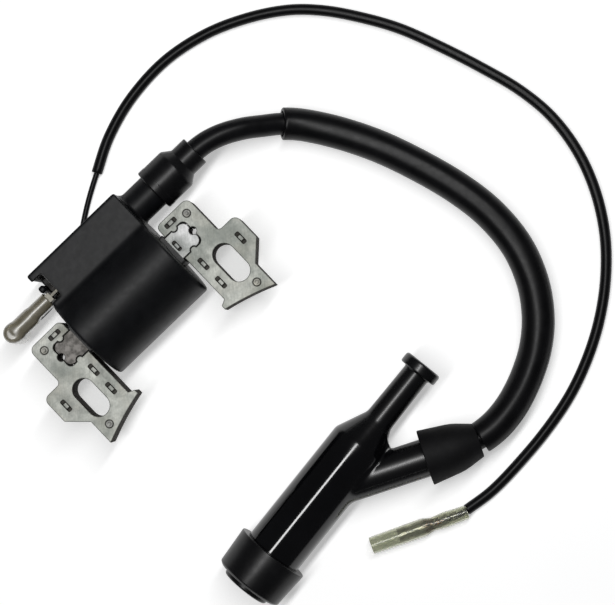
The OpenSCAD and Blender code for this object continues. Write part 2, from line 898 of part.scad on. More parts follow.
module plug_boot() {
    color("#181818")
        cap_frame()
            difference() {
                turned_x([
                    [boot_start, 0], [boot_start, boot_diameter / 2 - 0.3],
                    [boot_start - 0.3, boot_diameter / 2], [boot_end + 0.6, boot_diameter / 2 - boot_taper],
                    [boot_end, boot_diameter / 2 - boot_corner], [boot_end, boot_lip_r],
                    [boot_lip_end + 0.6, boot_lip_r], [boot_lip_end, boot_lip_r - 0.6], [boot_lip_end, 0]
                ]);
                rod_x(barrel_end, boot_start + cut, barrel_diameter / 2 + 0.03);
                rod_x(boot_lip_end - cut, barrel_end + cut, boot_lip_bore);
            }
}

core_leg_left();
core_leg_right();
core_bar();
core_rivets();
coil_case();
potting_resin();
primary_bobbin();
primary_winding();
secondary_bobbin();
secondary_winding();
circuit_board();
power_transistor();
board_components();
ht_contact();
stop_tab();
flag_terminal();
flag_sleeve();
tower_cap();
ht_lead();
ht_lead_sleeve();
stop_wire();
stop_wire_tube();
bullet_receptacle();
wire_strands();
bullet_sleeve();
plug_cap_body();
plug_terminal();
terminal_clip();
lead_screw();
lead_seal();
plug_boot();
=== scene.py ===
import json
import math

import bpy
import numpy as np
from mathutils import Matrix, Vector
from mathutils.geometry import delaunay_2d_cdt


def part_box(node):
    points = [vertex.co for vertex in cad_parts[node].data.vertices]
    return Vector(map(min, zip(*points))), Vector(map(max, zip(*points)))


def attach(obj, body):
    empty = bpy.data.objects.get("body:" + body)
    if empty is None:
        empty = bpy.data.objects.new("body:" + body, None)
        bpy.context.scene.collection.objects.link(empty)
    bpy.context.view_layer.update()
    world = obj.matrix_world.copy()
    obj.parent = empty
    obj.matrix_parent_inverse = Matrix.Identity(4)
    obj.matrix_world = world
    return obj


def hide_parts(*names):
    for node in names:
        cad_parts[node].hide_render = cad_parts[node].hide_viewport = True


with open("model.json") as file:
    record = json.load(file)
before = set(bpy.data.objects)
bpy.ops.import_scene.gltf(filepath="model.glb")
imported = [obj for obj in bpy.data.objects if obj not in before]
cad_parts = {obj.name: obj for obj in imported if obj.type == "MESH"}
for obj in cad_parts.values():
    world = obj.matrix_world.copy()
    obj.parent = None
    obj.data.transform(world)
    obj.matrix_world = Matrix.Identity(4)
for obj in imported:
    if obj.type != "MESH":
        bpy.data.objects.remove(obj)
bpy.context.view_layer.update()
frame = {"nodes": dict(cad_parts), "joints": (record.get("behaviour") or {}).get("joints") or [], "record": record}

# Lengths below are in millimetres, in each part's own frame; MM turns them into metres.
MM = 0.001

# ---------------------------------------------------------------- local frames

joints = {j["name"]: j for j in frame["joints"]}
mounts = {m["name"]: m for m in frame["record"]["mounts"]}


def frame_at(origin, along):
    """The matrix of a frame at origin (metres) whose +X runs level along the direction."""
    return Matrix.Translation(Vector(origin)) @ Matrix.Rotation(math.atan2(along[1], along[0]), 4, "Z")


BAR_Y = 15.35
bar_low, bar_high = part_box("core_bar")
COIL = Matrix.Translation((bar_low + bar_high) / 2 - Vector((0, BAR_Y * MM, 0)))
CAP = frame_at(joints["plug_cap_twist"]["pos_m"], [-a for a in joints["plug_boot_pull"]["axis"]])
ARM = frame_at(joints["plug_cap_twist"]["pos_m"], joints["plug_cap_twist"]["axis"])
BULLET_MID = 13.7
bullet_axis = [-a for a in mounts["stop_connector"]["axis"]]
BULLET = frame_at(mounts["stop_connector"]["pos_m"], bullet_axis) @ Matrix.Translation((-BULLET_MID * MM, 0, 0))

# ---------------------------------------------------------------- camera

CAMERA_AT = Vector((58.6, -75.4, 720)) * MM
CAMERA_AIM = Vector((37.8, -36.9, 0)) * MM
PICTURE_UP = Vector((0.6921, 0.7218, 0))
LENS_MM = 134.0

# The plain transform keeps the picture's whites white and its blacks black.
bpy.context.scene.view_settings.view_transform = "Standard"


def make_camera():
    data = bpy.data.cameras.new("camera")
    data.lens = LENS_MM
    data.sensor_width = 36.0
    data.clip_start, data.clip_end = 0.01, 10
    camera = bpy.data.objects.new("camera", data)
    bpy.context.scene.collection.objects.link(camera)
    back = (CAMERA_AT - CAMERA_AIM).normalized()
    up = (PICTURE_UP - PICTURE_UP.dot(back) * back).normalized()
    right = up.cross(back)
    camera.matrix_world = Matrix.Translation(CAMERA_AT) @ Matrix((right, up, back)).transposed().to_4x4()
    bpy.context.scene.camera = camera


make_camera()

# ---------------------------------------------------------------- mesh tools


def make_piece(name, points, faces, place, material, smooth_angle=35):
    """A mesh object from points in millimetres in the frame place."""
    mesh = bpy.data.meshes.new(name)
    points = np.asarray(points, float) * MM
    turn = np.array(place.to_3x3())
    points = points @ turn.T + np.array(place.translation)
    mesh.from_pydata(points.tolist(), [], [list(map(int, f)) for f in faces])
    mesh.polygons.foreach_set("use_smooth", [True] * len(mesh.polygons))
    mesh.set_sharp_from_angle(angle=math.radians(smooth_angle))
    mesh.materials.append(material)
    piece = bpy.data.objects.new(name, mesh)
    bpy.context.scene.collection.objects.link(piece)
    return piece


def joined(*parts):
    """Several (points, faces) as one."""
    points, faces = [], []
    for p, f in parts:
        base = len(points)
        points += [list(v) for v in p]
        faces += [[i + base for i in face] for face in f]
    return points, faces


def arc(cx, cy, r, a0, a1, n=8):
    """Points on a circle's arc from angle a0 to a1, in degrees."""
    return [
        (cx + r * math.cos(math.radians(a0 + (a1 - a0) * i / n)),
         cy + r * math.sin(math.radians(a0 + (a1 - a0) * i / n)))
        for i in range(n + 1)
    ]


def rounded(profile, closed=False):
    """An outline with its corners rounded, from (x, y) or (x, y, corner radius) points."""
    n = len(profile)
    out = []
    for i, p in enumerate(profile):
        r = p[2] if len(p) > 2 else 0
        if r == 0 or (not closed and i in (0, n - 1)):
            out.append((p[0], p[1]))
            continue
        here = Vector(p[:2])
        a, b = Vector(profile[i - 1][:2]) - here, Vector(profile[(i + 1) % n][:2]) - here
        half = a.angle(b) / 2
        reach = min(r / math.tan(half), 0.49 * a.length, 0.49 * b.length)
        r = reach * math.tan(half)
        centre = here + (a.normalized() + b.normalized()).normalized() * (r / math.sin(half))
        start, end = here + a.normalized() * reach, here + b.normalized() * reach
        a0 = math.atan2(start.y - centre.y, start.x - centre.x)
        turn = (math.atan2(end.y - centre.y, end.x - centre.x) - a0 + math.pi) % (2 * math.pi) - math.pi
        steps = max(2, int(abs(turn) / 0.2))
        for k in range(steps + 1):
            angle = a0 + turn * k / steps
            out.append((centre.x + r * math.cos(angle), centre.y + r * math.sin(angle)))
    return out


def turned(profile, sides=96, closed=False):
    """The points and faces of a shape turned about X, from (x, radius) points.
    A closed profile gives a ring with a bore; an open one starts and ends on the axis."""
    points, faces = [], []
    n = len(profile)
    for x, r in profile:
        for k in range(sides):
            a = 2 * math.pi * k / sides
            points.append((x, r * math.cos(a), r * math.sin(a)))
    for i in range(n if closed else n - 1):
        for k in range(sides):
            j, m = (i + 1) % n, (k + 1) % sides
            faces.append([i * sides + k, i * sides + m, j * sides + m, j * sides + k])
    if not closed:
        faces.append([k for k in range(sides)][::-1])
        faces.append([(n - 1) * sides + k for k in range(sides)])
    return points, faces


def smooth_path(route, steps):
    """The route as a smooth line through its own points."""
    p = [np.array(v, float) for v in route]
    out = []
    for i in range(len(p) - 1):
        a, b, c, d = p[max(i - 1, 0)], p[i], p[i + 1], p[min(i + 2, len(p) - 1)]
        for k in range(steps):
            t = k / steps
            out.append(0.5 * (2 * b + (c - a) * t + (2 * a - 5 * b + 4 * c - d) * t ** 2
                              + (3 * b - a - 3 * c + d) * t ** 3))
    out.append(p[-1])
    return np.array(out)


def path_frames(path):
    """The direction and two sideways directions at each point of a path, without twist."""
    ahead = np.gradient(path, axis=0)
    ahead /= np.linalg.norm(ahead, axis=1)[:, None]
    side = np.array([0.0, 1.0, 0.0])
    sides = []
    for t in ahead:
        side = side - (side @ t) * t
        side = side / np.linalg.norm(side)
        sides.append(side)
    sides = np.array(sides)
    return ahead, sides, np.cross(ahead, sides)


def swept(path, radii, sides=24, wobble=0.0, seed=1):
    """The points and faces of a round bar along a path. radii holds one radius for each point."""
    ahead, side, up = path_frames(path)
    rng = np.random.default_rng(seed)
    waves = rng.uniform(0, 2 * math.pi, (4, 2))
    points = []
    for i, c in enumerate(path):
        s = i / len(path) * 40
        for k in range(sides):
            a = 2 * math.pi * k / sides
            r = radii[i] + wobble * sum(
                math.sin(a * (n + 1) + s * (0.35 + 0.3 * n) + waves[n][0]) for n in range(3)) / 3
            points.append(c + r * (math.cos(a) * side[i] + math.sin(a) * up[i]))
    faces = []
    for i in range(len(path) - 1):
        for k in range(sides):
            m = (k + 1) % sides
            faces.append([i * sides + k, i * sides + m, (i + 1) * sides + m, (i + 1) * sides + k])
    faces.append([k for k in range(sides)][::-1])
    faces.append([(len(path) - 1) * sides + k for k in range(sides)])
    return points, faces


def swept_tube(path, outer, inner, sides=32, wobble=0.0, seed=1):
    """A thick-walled tube along a path, with slightly rounded cut ends."""
    round_off = 0.25
    op, of = swept(path, outer, sides, wobble, seed)
    ip, inf = swept(path, inner, sides)
    of, inf = of[:-2], [f[::-1] for f in inf[:-2]]
    base = len(op)
    n = len(path)
    points = list(op) + list(ip)
    # rings that turn the corner at each end
    ahead, side, up = path_frames(path)
    faces = of + [[i + base for i in f] for f in inf]
    for end, sign in ((0, -1), (n - 1, 1)):
        start = len(points)
        c = path[end] + sign * round_off * ahead[end]
        for r in (outer[end] - round_off, inner[end] + round_off * 0.5):
            for k in range(sides):
                a = 2 * math.pi * k / sides
                points.append(c + r * (math.cos(a) * side[end] + math.sin(a) * up[end]))
        rows = [end * sides, start, start + sides, base + end * sides]
        for a, b in zip(rows, rows[1:]):
            for k in range(sides):
                m = (k + 1) % sides
                f = [a + k, a + m, b + m, b + k]
                faces.append(f if sign > 0 else f[::-1])
    return points, faces


# ---------------------------------------------------------------- solids by distance

# Each function gives the distance from the points p (a row of x, y, z each) to a shape.


def d_box(p, low, high, r=0.0):
    low, high = np.array(low, float), np.array(high, float)
    q = np.abs(p - (low + high) / 2) - (high - low) / 2 + r
    return np.linalg.norm(np.maximum(q, 0), axis=-1) + np.minimum(q.max(axis=-1), 0) - r


def d_outline(u, v, outline):
    """Distance to a closed flat outline."""
    best = np.full(u.shape, 1e9)
    inside = np.zeros(u.shape, bool)
    n = len(outline)
    for i in range(n):
        ax, ay = outline[i - 1]
        bx, by = outline[i]
        ex, ey = bx - ax, by - ay
        wx, wy = u - ax, v - ay
        t = np.clip((wx * ex + wy * ey) / (ex * ex + ey * ey + 1e-12), 0, 1)
        best = np.minimum(best, (wx - ex * t) ** 2 + (wy - ey * t) ** 2)
        if ay != by:
            crosses = ((ay > v) != (by > v)) & (u < (bx - ax) * (v - ay) / (by - ay) + ax)
            inside ^= crosses
    return np.where(inside, -1, 1) * np.sqrt(best)


def d_rod(p, x0, x1, y, z, r, edge=0.0):
    """A cylinder along X with rounded edges."""
    q = np.stack([np.abs(p[..., 0] - (x0 + x1) / 2) - (x1 - x0) / 2 + edge,
                  np.hypot(p[..., 1] - y, p[..., 2] - z) - r + edge], axis=-1)
    return np.linalg.norm(np.maximum(q, 0), axis=-1) + np.minimum(q.max(axis=-1), 0) - edge


def d_turned(p, profile):
    """A shape turned about X; the profile starts and ends on the axis."""
    outline = [(x, r) for x, r in profile] + [(x, -r) for x, r in profile[::-1]]
    return d_outline(p[..., 0], np.hypot(p[..., 1], p[..., 2]), outline)


def blended(a, b, k):
    """The union of two shapes with a fillet of about k."""
    h = np.clip(0.5 + 0.5 * (b - a) / k, 0, 1)
    return b + (a - b) * h - k * h * (1 - h)


def cut_by(a, b, k=0.3):
    """Shape a without shape b, with the cut's edges rounded by about k."""
    return -blended(-a, b, k)


def surface_of(distance, low, high, cell):
    """The points and faces of the surface where distance is 0, by surface nets."""
    axes = [np.arange(a - 2 * cell, b + 3 * cell, cell) for a, b in zip(low, high)]
    origin = np.array([a[0] for a in axes])
    d = distance(np.stack(np.meshgrid(*axes, indexing="ij"), axis=-1))
    inside = d < 0
    shape = np.array(d.shape) - 1
    total = np.zeros(shape, int)
    for o in np.ndindex(2, 2, 2):
        total += inside[o[0]:o[0] + shape[0], o[1]:o[1] + shape[1], o[2]:o[2] + shape[2]]
    cells = np.argwhere((total > 0) & (total < 8))
    index = np.full(shape, -1)
    index[tuple(cells.T)] = np.arange(len(cells))
    place, count = np.zeros((len(cells), 3)), np.zeros(len(cells))
    unit = np.eye(3, dtype=int)
    for axis in range(3):
        u, v = unit[(axis + 1) % 3], unit[(axis + 2) % 3]
        for a, b in np.ndindex(2, 2):
            start = cells + a * u + b * v
            d0, d1 = d[tuple(start.T)], d[tuple((start + unit[axis]).T)]
            hit = (d0 < 0) != (d1 < 0)
            t = np.where(hit, d0 / np.where(hit, d0 - d1, 1), 0)
            place += np.where(hit[:, None], start + t[:, None] * unit[axis], 0)
            count += hit
    points = origin + cell * place / count[:, None]
    faces = []
    for axis in range(3):
        u, v = unit[(axis + 1) % 3], unit[(axis + 2) % 3]
        a = np.take(inside, range(d.shape[axis] - 1), axis)
        b = np.take(inside, range(1, d.shape[axis]), axis)
        c = np.argwhere(a != b)
        quads = np.stack([index[tuple((c - u - v).T)], index[tuple((c - v).T)],
                          index[tuple(c.T)], index[tuple((c - u).T)]], axis=1)
        out = a[tuple(c.T)]
        faces += [quads[out], quads[~out][:, ::-1]]
    # move the points on to the true surface
    for _ in range(3):
        step = 0.02
        slope = np.stack([distance(points + step * unit[i]) - distance(points - step * unit[i])
                          for i in range(3)], axis=1) / (2 * step)
        size = np.maximum((slope ** 2).sum(axis=1), 0.25)
        move = distance(points)[:, None] * slope / size[:, None]
        points = points - np.clip(move, -cell / 2, cell / 2)
    return points, np.concatenate(faces)


# ---------------------------------------------------------------- flat plates


def crossings(x, y, loop):
    """Whether a point is inside a loop."""
    inside = False
    for i in range(len(loop)):
        (ax, ay), (bx, by) = loop[i - 1], loop[i]
        if (ay > y) != (by > y) and x < (bx - ax) * (y - ay) / (by - ay) + ax:
            inside = not inside
    return inside


def fill(outer, holes=(), inner=()):
    """Triangles between an outer loop and its holes, as indices into outer, then the holes, then inner."""
    loops = [outer, *holes]
    points, edges = [], []
    for loop in loops:
        base, n = len(points), len(loop)
        points += [Vector(p[:2]) for p in loop]
        edges += [(base + i, base + (i + 1) % n) for i in range(n)]
    points += [Vector(p[:2]) for p in inner]
    verts, _, tris, source, _, _ = delaunay_2d_cdt(points, edges, [], 0, 1e-5)
    kept = []
    for t in tris:
        x, y = sum(verts[i].x for i in t) / 3, sum(verts[i].y for i in t) / 3
        if crossings(x, y, outer) and not any(crossings(x, y, h) for h in holes):
            kept.append([source[i][0] for i in t])
    return kept


def anticlockwise(loop):
    area = sum(loop[i - 1][0] * loop[i][1] - loop[i][0] * loop[i - 1][1] for i in range(len(loop)))
    return list(loop) if area > 0 else list(loop)[::-1]


def inset(loop, d):
    """An anticlockwise loop moved inwards by d, or outwards if d is negative."""
    out, n = [], len(loop)
    for i in range(n):
        a, b, c = (Vector(loop[(i + k) % n][:2]) for k in (-1, 0, 1))
        na, nb = (b - a).normalized(), (c - b).normalized()
        na, nb = Vector((-na.y, na.x)), Vector((-nb.y, nb.x))
        m = na + nb
        out.append(tuple(b + m * (d / max(0.5 * m.length_squared, 0.3))))
    return out


def plate(outer, through, levels, recesses=(), depth=None):
    """A thick plate whose edge follows levels of (inset, z), with holes right through it.
    recesses are loops sunk into its top, and depth(x, y, loop) says how deep."""
    outer, through = anticlockwise(outer), [anticlockwise(h) for h in through]
    recesses = [anticlockwise(r) for r in recesses]
    points, faces = [], []
    rings = []
    for number, loop in enumerate([outer, *through]):
        sign = 1 if number == 0 else -1
        rows = []
        for d, z in levels:
            rows.append(range(len(points), len(points) + len(loop)))
            points += [(x, y, z) for x, y in inset(loop, sign * d)]
        for low, high in zip(rows, rows[1:]):
            for i in range(len(loop)):
                j = (i + 1) % len(loop)
                quad = [low[i], low[j], high[j], high[i]]
                faces.append(quad if sign > 0 else quad[::-1])
        rings.append(rows)
    top = levels[-1][1]
    recess_rows = []
    for loop in recesses:
        rows = []
        for d, drop in ((-0.12, 0), (-0.03, 0.03), (0, 0.12)):
            rows.append(range(len(points), len(points) + len(loop)))
            points += [(x, y, top - drop) for x, y in inset(loop, d)]
        rows.append(range(len(points), len(points) + len(loop)))
        points += [(x, y, top - max(0.16, depth(x, y, loop))) for x, y in inset(loop, 0.03)]
        for high, low in zip(rows, rows[1:]):
            for i in range(len(loop)):
                j = (i + 1) % len(loop)
                faces.append([high[j], high[i], low[i], low[j]][::-1])
        low_x, high_x = min(p[0] for p in loop), max(p[0] for p in loop)
        low_y, high_y = min(p[1] for p in loop), max(p[1] for p in loop)
        shrunk = inset(loop, 0.15)
        inner = [
            (x, y)
            for x in np.arange(low_x, high_x, 0.14)
            for y in np.arange(low_y, high_y, 0.14)
            if crossings(x, y, shrunk)
        ]
        first = len(points)
        points += [(x, y, top - depth(x, y, loop)) for x, y in inner]
        floor_loop = [points[i][:2] for i in rows[-1]]
        ids = [*rows[-1], *range(first, len(points))]
        faces += [[ids[i] for i in t] for t in fill(floor_loop, (), inner)]
        recess_rows.append(rows[0])
    for level, up in ((-1, True), (0, False)):
        loops = [rows[level] for rows in rings] + (recess_rows if up else [])
        flat = [[points[i][:2] for i in ids] for ids in loops]
        ids = [i for loop in loops for i in loop]
        for t in fill(flat[0], flat[1:]):
            t = [ids[i] for i in t]
            faces.append(t if up else t[::-1])
    return points, faces


# ---------------------------------------------------------------- materials


class Nodes:
    """A material's node tree, with short names for what this scene uses."""

    def __init__(self, name):
        self.material = bpy.data.materials.new(name)
        self.material.use_nodes = True
        self.tree = self.material.node_tree
        self.shader = self.tree.nodes["Principled BSDF"]
        self.where = self.tree.nodes.new("ShaderNodeTexCoord").outputs["Object"]

    def node(self, kind, **inputs):
        n = self.tree.nodes.new("ShaderNode" + kind)
        for key, value in inputs.items():
            self.put(n, key, value)
        return n

    def put(self, node, key, value):
        socket = node.inputs[key if isinstance(key, int) else key.replace("_", " ")]
        if isinstance(value, bpy.types.NodeSocket):
            self.tree.links.new(value, socket)
        else:
            socket.default_value = value

    def stretched(self, x, y, z, turn=0.0):
        """Coordinates scaled along each axis, in features per millimetre, after a turn about Z."""
        n = self.node("Mapping", Vector=self.where)
        n.vector_type = "TEXTURE"
        n.inputs["Rotation"].default_value = (0, 0, turn)
        n.inputs["Scale"].default_value = (MM / x, MM / y, MM / z)
        return n.outputs[0]

    def noise(self, per_mm, detail=3.0, rough=0.55, at=None):
        """Noise from 0 to 1 with about per_mm features in a millimetre."""
        at = at if at is not None else self.stretched(per_mm, per_mm, per_mm)
        return self.node("TexNoise", Vector=at, Scale=1.0, Detail=detail, Roughness=rough).outputs["Fac"]

    def ramp(self, value, *stops):
        """A colour ramp with stops of (position, colour or number)."""
        n = self.node("ValToRGB", Fac=value)
        while len(n.color_ramp.elements) < len(stops):
            n.color_ramp.elements.new(0.5)
        for e, (position, colour) in zip(n.color_ramp.elements, stops):
            e.position = position
            e.color = (*colour, 1) if isinstance(colour, tuple) else (colour, colour, colour, 1)
        return n.outputs["Color"]

    def mix(self, factor, a, b, blend="MIX"):
        n = self.tree.nodes.new("ShaderNodeMix")
        n.data_type = "RGBA"
        n.blend_type = blend
        for i, v in ((0, factor), (6, a), (7, b)):
            self.put(n, i, (*v, 1) if isinstance(v, tuple) else v)
        return n.outputs[2]

    def span(self, value, low, high):
        """The value, from 0 to 1, as a number from low to high."""
        return self.node("MapRange", Value=value, To_Min=low, To_Max=high).outputs["Result"]

    def math(self, operation, a, b=0.0):
        n = self.tree.nodes.new("ShaderNodeMath")
        n.operation = operation
        self.put(n, 0, a)
        self.put(n, 1, b)
        return n.outputs[0]

    def bump(self, *heights):
        """Bumps from (height, depth in millimetres) pairs, one on another."""
        normal = None
        for height, depth in heights:
            n = self.node("Bump", Height=height, Distance=depth * MM, Strength=1.0)
            if normal is not None:
                self.put(n, "Normal", normal)
            normal = n.outputs["Normal"]
        self.put(self.shader, "Normal", normal)

    def along(self, place, axis, start, end):
        """0 to 1 between two distances in millimetres along an axis of a part's own frame."""
        n = self.node("VectorMath", Vector=self.where)
        n.operation = "DOT_PRODUCT"
        axis = place.to_3x3() @ Vector(axis)
        n.inputs[1].default_value = axis
        zero = place.translation.dot(axis)
        return self.node("MapRange", Value=n.outputs["Value"], From_Min=zero + start * MM,
                         From_Max=zero + end * MM).outputs["Result"]

    def set(self, **inputs):
        for key, value in inputs.items():
            if isinstance(value, tuple) and len(value) == 3:
                value = (*value, 1)
            self.put(self.shader, key, value)
        return self.material


def moulded(name, dark, light, rough, grain=6.0, depth=0.004, gloss=0.5, dust=0.0):
    """Black moulded plastic or rubber: faint mottling, fine grain and a little dust."""
    n = Nodes(name)
    colour = n.ramp(n.noise(0.18), (0.35, dark), (0.7, light))
    if dust:
        specks = n.ramp(n.noise(2.6, detail=2.0), (0.66, 0.0), (0.74, 1.0))
        colour = n.mix(n.math("MULTIPLY", specks, dust), colour, (0.22, 0.21, 0.2))
    roughness = n.span(n.noise(0.5), rough - 0.06, rough + 0.08)
    n.bump((n.noise(grain, detail=4.0), depth), (n.noise(0.35, detail=1.0), depth * 4))
    return n.set(Base_Color=colour, Roughness=roughness, Specular_IOR_Level=gloss)


def polished(name, dark, light):
    """The cap's black moulding: mirror-smooth round the barrel and duller on the grip and the arm."""
    n = Nodes(name)
    to_grip = n.along(CAP, (1, 0, 0), 12, 27)
    to_arm = n.along(CAP, (0, -1, 0), 5.5, 9.5)
    dull = n.math("MAXIMUM", to_grip, to_arm)
    rough = n.math("ADD", n.span(dull, 0.075, 0.27), n.span(n.noise(0.6), -0.02, 0.03))
    n.bump((n.noise(0.9, detail=2.0), 0.0015), (n.noise(0.16, detail=1.0), 0.012))
    return n.set(Base_Color=n.ramp(n.noise(0.18), (0.35, dark), (0.7, light)), Roughness=rough)


def steel(name, dark, light, rough, brushed=0.0, scorched=False):
    """Washed or plated metal: mottled tone, stains, and fine lines along one direction."""
    n = Nodes(name)
    lines = n.noise(1.0, detail=3.0, at=n.stretched(0.25, 9.0, 3.0, brushed))
    tone = n.ramp(n.noise(0.35, detail=5.0, rough=0.65), (0.3, dark), (0.62, light))
    stain = n.ramp(n.noise(0.12, detail=2.0), (0.5, 0.0), (0.75, 0.35))
    tone = n.mix(stain, tone, (0.36, 0.34, 0.24))
    tone = n.mix(n.span(lines, 0.0, 0.22), tone, (0.3, 0.3, 0.29))
    if scorched:
        # the barrel's shoulder, browned where it was heated
        brown = n.math("MULTIPLY", n.along(BULLET, (1, 0, 0), 16.2, 18.2),
                       n.along(BULLET, (-1, 0, 0), -21.2, -20.0))
        tone = n.mix(n.math("MULTIPLY", brown, 0.8), tone, (0.20, 0.085, 0.04))
    roughness = n.math("ADD", n.span(lines, rough - 0.08, rough + 0.08), n.span(n.noise(1.2), -0.04, 0.05))
    n.bump((lines, 0.003), (n.noise(5.0, detail=3.0), 0.004))
    return n.set(Base_Color=tone, Roughness=roughness, Metallic=1.0)


def vinyl(name, tint, thick_tint, clear, rough, coat):
    """Translucent soft vinyl, cloudier in patches."""
    n = Nodes(name)
    cloud = n.noise(0.22, detail=2.0)
    n.bump((n.noise(0.5, detail=1.0), 0.012), (n.noise(6.0), 0.0015))
    return n.set(
        Base_Color=n.ramp(cloud, (0.35, tint), (0.75, thick_tint)),
        Roughness=n.span(n.noise(0.8), rough - 0.03, rough + 0.05),
        Transmission_Weight=clear, IOR=1.4, Specular_IOR_Level=0.5,
        Coat_Weight=coat, Coat_Roughness=0.36, Coat_IOR=2.0,
    )


def laminated_steel(name, dark, light, rough, darker_left_end=0.0):
    """A stack of steel sheets: a rolled, handled face, with painted shade darkening the sheared sides and the
    struck recesses.
    """
    n = Nodes(name)
    lines = n.noise(1.0, detail=3.0, at=n.stretched(0.2, 7.0, 3.0, 0.9))
    tone = n.ramp(n.noise(0.4, detail=5.0, rough=0.7), (0.3, dark), (0.65, light))
    stain = n.ramp(n.noise(0.1, detail=3.0), (0.48, 0.0), (0.72, 0.45))
    tone = n.mix(stain, tone, (0.24, 0.21, 0.15))
    grey = n.ramp(n.noise(0.07, detail=3.0, rough=0.6), (0.36, 0.6), (0.56, 0.0))
    tone = n.mix(grey, tone, (0.12, 0.14, 0.125))
    tone = n.mix(n.span(lines, 0.0, 0.3), tone, (0.16, 0.16, 0.15))
    place = n.node("SeparateXYZ", Vector=n.where)
    if darker_left_end:
        # the left half of the bar, along world X, is mixed towards a darker, browner mottle
        worn = n.node("MapRange", Value=place.outputs["X"], From_Min=0.005, From_Max=-0.005, To_Max=darker_left_end)
        brown = n.ramp(n.noise(0.45, detail=4.0), (0.4, (0.045, 0.041, 0.036)), (0.6, (0.15, 0.14, 0.13)))
        tone = n.mix(worn.outputs["Result"], tone, brown)
    # the height above or below the middle of the stack tells a face from a recess, so that the recesses get the
    # painted shade
    height = n.math("ABSOLUTE", n.math("SUBTRACT", place.outputs["Z"], COIL.translation.z))
    on_top = n.node("MapRange", Value=height, From_Min=5.05 * MM, From_Max=5.42 * MM, To_Min=0.12)
    up = n.node("SeparateXYZ", Vector=n.node("NewGeometry").outputs["Normal"]).outputs["Z"]
    level = n.ramp(n.math("ABSOLUTE", up), (0.4, 0.0), (0.75, 1.0))
    face = n.math("MULTIPLY", level, on_top.outputs["Result"])
    # painted shade: the sides and the recess floors are coloured near black, with faint lines of the sheets
    side = n.mix(n.noise(1.0, at=n.stretched(0.6, 0.6, 4.0)), (0.014, 0.012, 0.010), (0.065, 0.058, 0.050))
    tone = n.mix(face, side, tone)
    roughness = n.math("ADD", n.span(lines, rough - 0.05, rough + 0.08), n.span(n.noise(1.5), -0.05, 0.06))
    roughness = n.math("ADD", roughness, n.span(face, 0.25, 0.0))
    n.bump((lines, 0.002), (n.noise(4.0, detail=4.0), 0.006))
    metal = n.span(face, 0.5, 0.9)
    return n.set(Base_Color=tone, Roughness=roughness, Metallic=metal, Specular_IOR_Level=0.3)


CASE = moulded("case_black", (0.0026, 0.0029, 0.0036), (0.0055, 0.0059, 0.0070), 0.42, grain=5.0, depth=0.005,
               gloss=0.21, dust=0.02)
RUBBER = moulded("satin_rubber", (0.0022, 0.0022, 0.0026), (0.0045, 0.0045, 0.0052), 0.33,
                 grain=3.0, depth=0.006, gloss=0.29, dust=0.03)
MATTE = moulded("matte_rubber", (0.0022, 0.0022, 0.0026), (0.0045, 0.0045, 0.0052), 0.6,
                grain=4.0, depth=0.008, gloss=0.16, dust=0.04)
JACKET = moulded("lead_jacket", (0.0026, 0.0026, 0.0032), (0.0045, 0.0045, 0.0055), 0.36,
                 grain=3.0, depth=0.004, gloss=0.19)
SLEEVE = moulded("sleeve_vinyl", (0.0022, 0.0022, 0.0026), (0.0042, 0.0042, 0.0050), 0.34,
                 grain=2.2, depth=0.006, gloss=0.18)
PHENOLIC = polished("cap_phenolic", (0.0012, 0.0012, 0.0016), (0.0022, 0.0022, 0.0028))
BOBBIN = moulded("bobbin_nylon", (0.012, 0.012, 0.013), (0.03, 0.03, 0.03), 0.5)
RESIN = moulded("cast_resin", (0.010, 0.008, 0.006), (0.028, 0.022, 0.016), 0.4, grain=1.2, depth=0.05,
                gloss=0.2)
# both laminated steels carry painted shade on their sides and in their struck recesses
LAMINATIONS = laminated_steel("core_laminations", (0.31, 0.32, 0.295), (0.52, 0.53, 0.49), 0.56)
BRIGHT = laminated_steel("bar_steel", (0.42, 0.42, 0.42), (0.56, 0.56, 0.56), 0.5, darker_left_end=0.92)
RIVET = steel("rivet_steel", (0.08, 0.08, 0.075), (0.26, 0.26, 0.245), 0.5, 0.9)
TIN = steel("tinned_metal", (0.74, 0.70, 0.67), (0.92, 0.88, 0.85), 0.4, 0.2, scorched=True)
# painted shade: the flag blade and the stop tab sit in the case's notch and are coloured dark for the notch's
# shade
NOTCH_SHADE_BLADE = steel("blade_metal_with_painted_shade", (0.12, 0.115, 0.10), (0.26, 0.25, 0.22), 0.55, 0.2)
NOTCH_SHADE_TAB = steel("tab_metal_with_painted_shade", (0.05, 0.045, 0.04), (0.20, 0.19, 0.16), 0.5, 0.2)
BRASS = steel("plain_brass", (0.60, 0.42, 0.18), (0.78, 0.58, 0.28), 0.3)
COPPER = steel("enamelled_copper", (0.40, 0.14, 0.05), (0.60, 0.26, 0.10), 0.3)
BOARD = moulded("board_green", (0.01, 0.06, 0.02), (0.02, 0.10, 0.04), 0.3, grain=8.0)
TAN = moulded("component_tan", (0.35, 0.2, 0.1), (0.5, 0.3, 0.16), 0.3)
BLACK_PART = moulded("component_black", (0.02, 0.02, 0.02), (0.03, 0.03, 0.03), 0.4)
MILKY = vinyl("milky_vinyl", (0.34, 0.31, 0.23), (0.21, 0.18, 0.10), 0.5, 0.24, 1.0)
CLEAR = vinyl("clear_vinyl", (0.70, 0.715, 0.60), (0.60, 0.615, 0.50), 0.9, 0.15, 0.0)

# ---------------------------------------------------------------- the cords


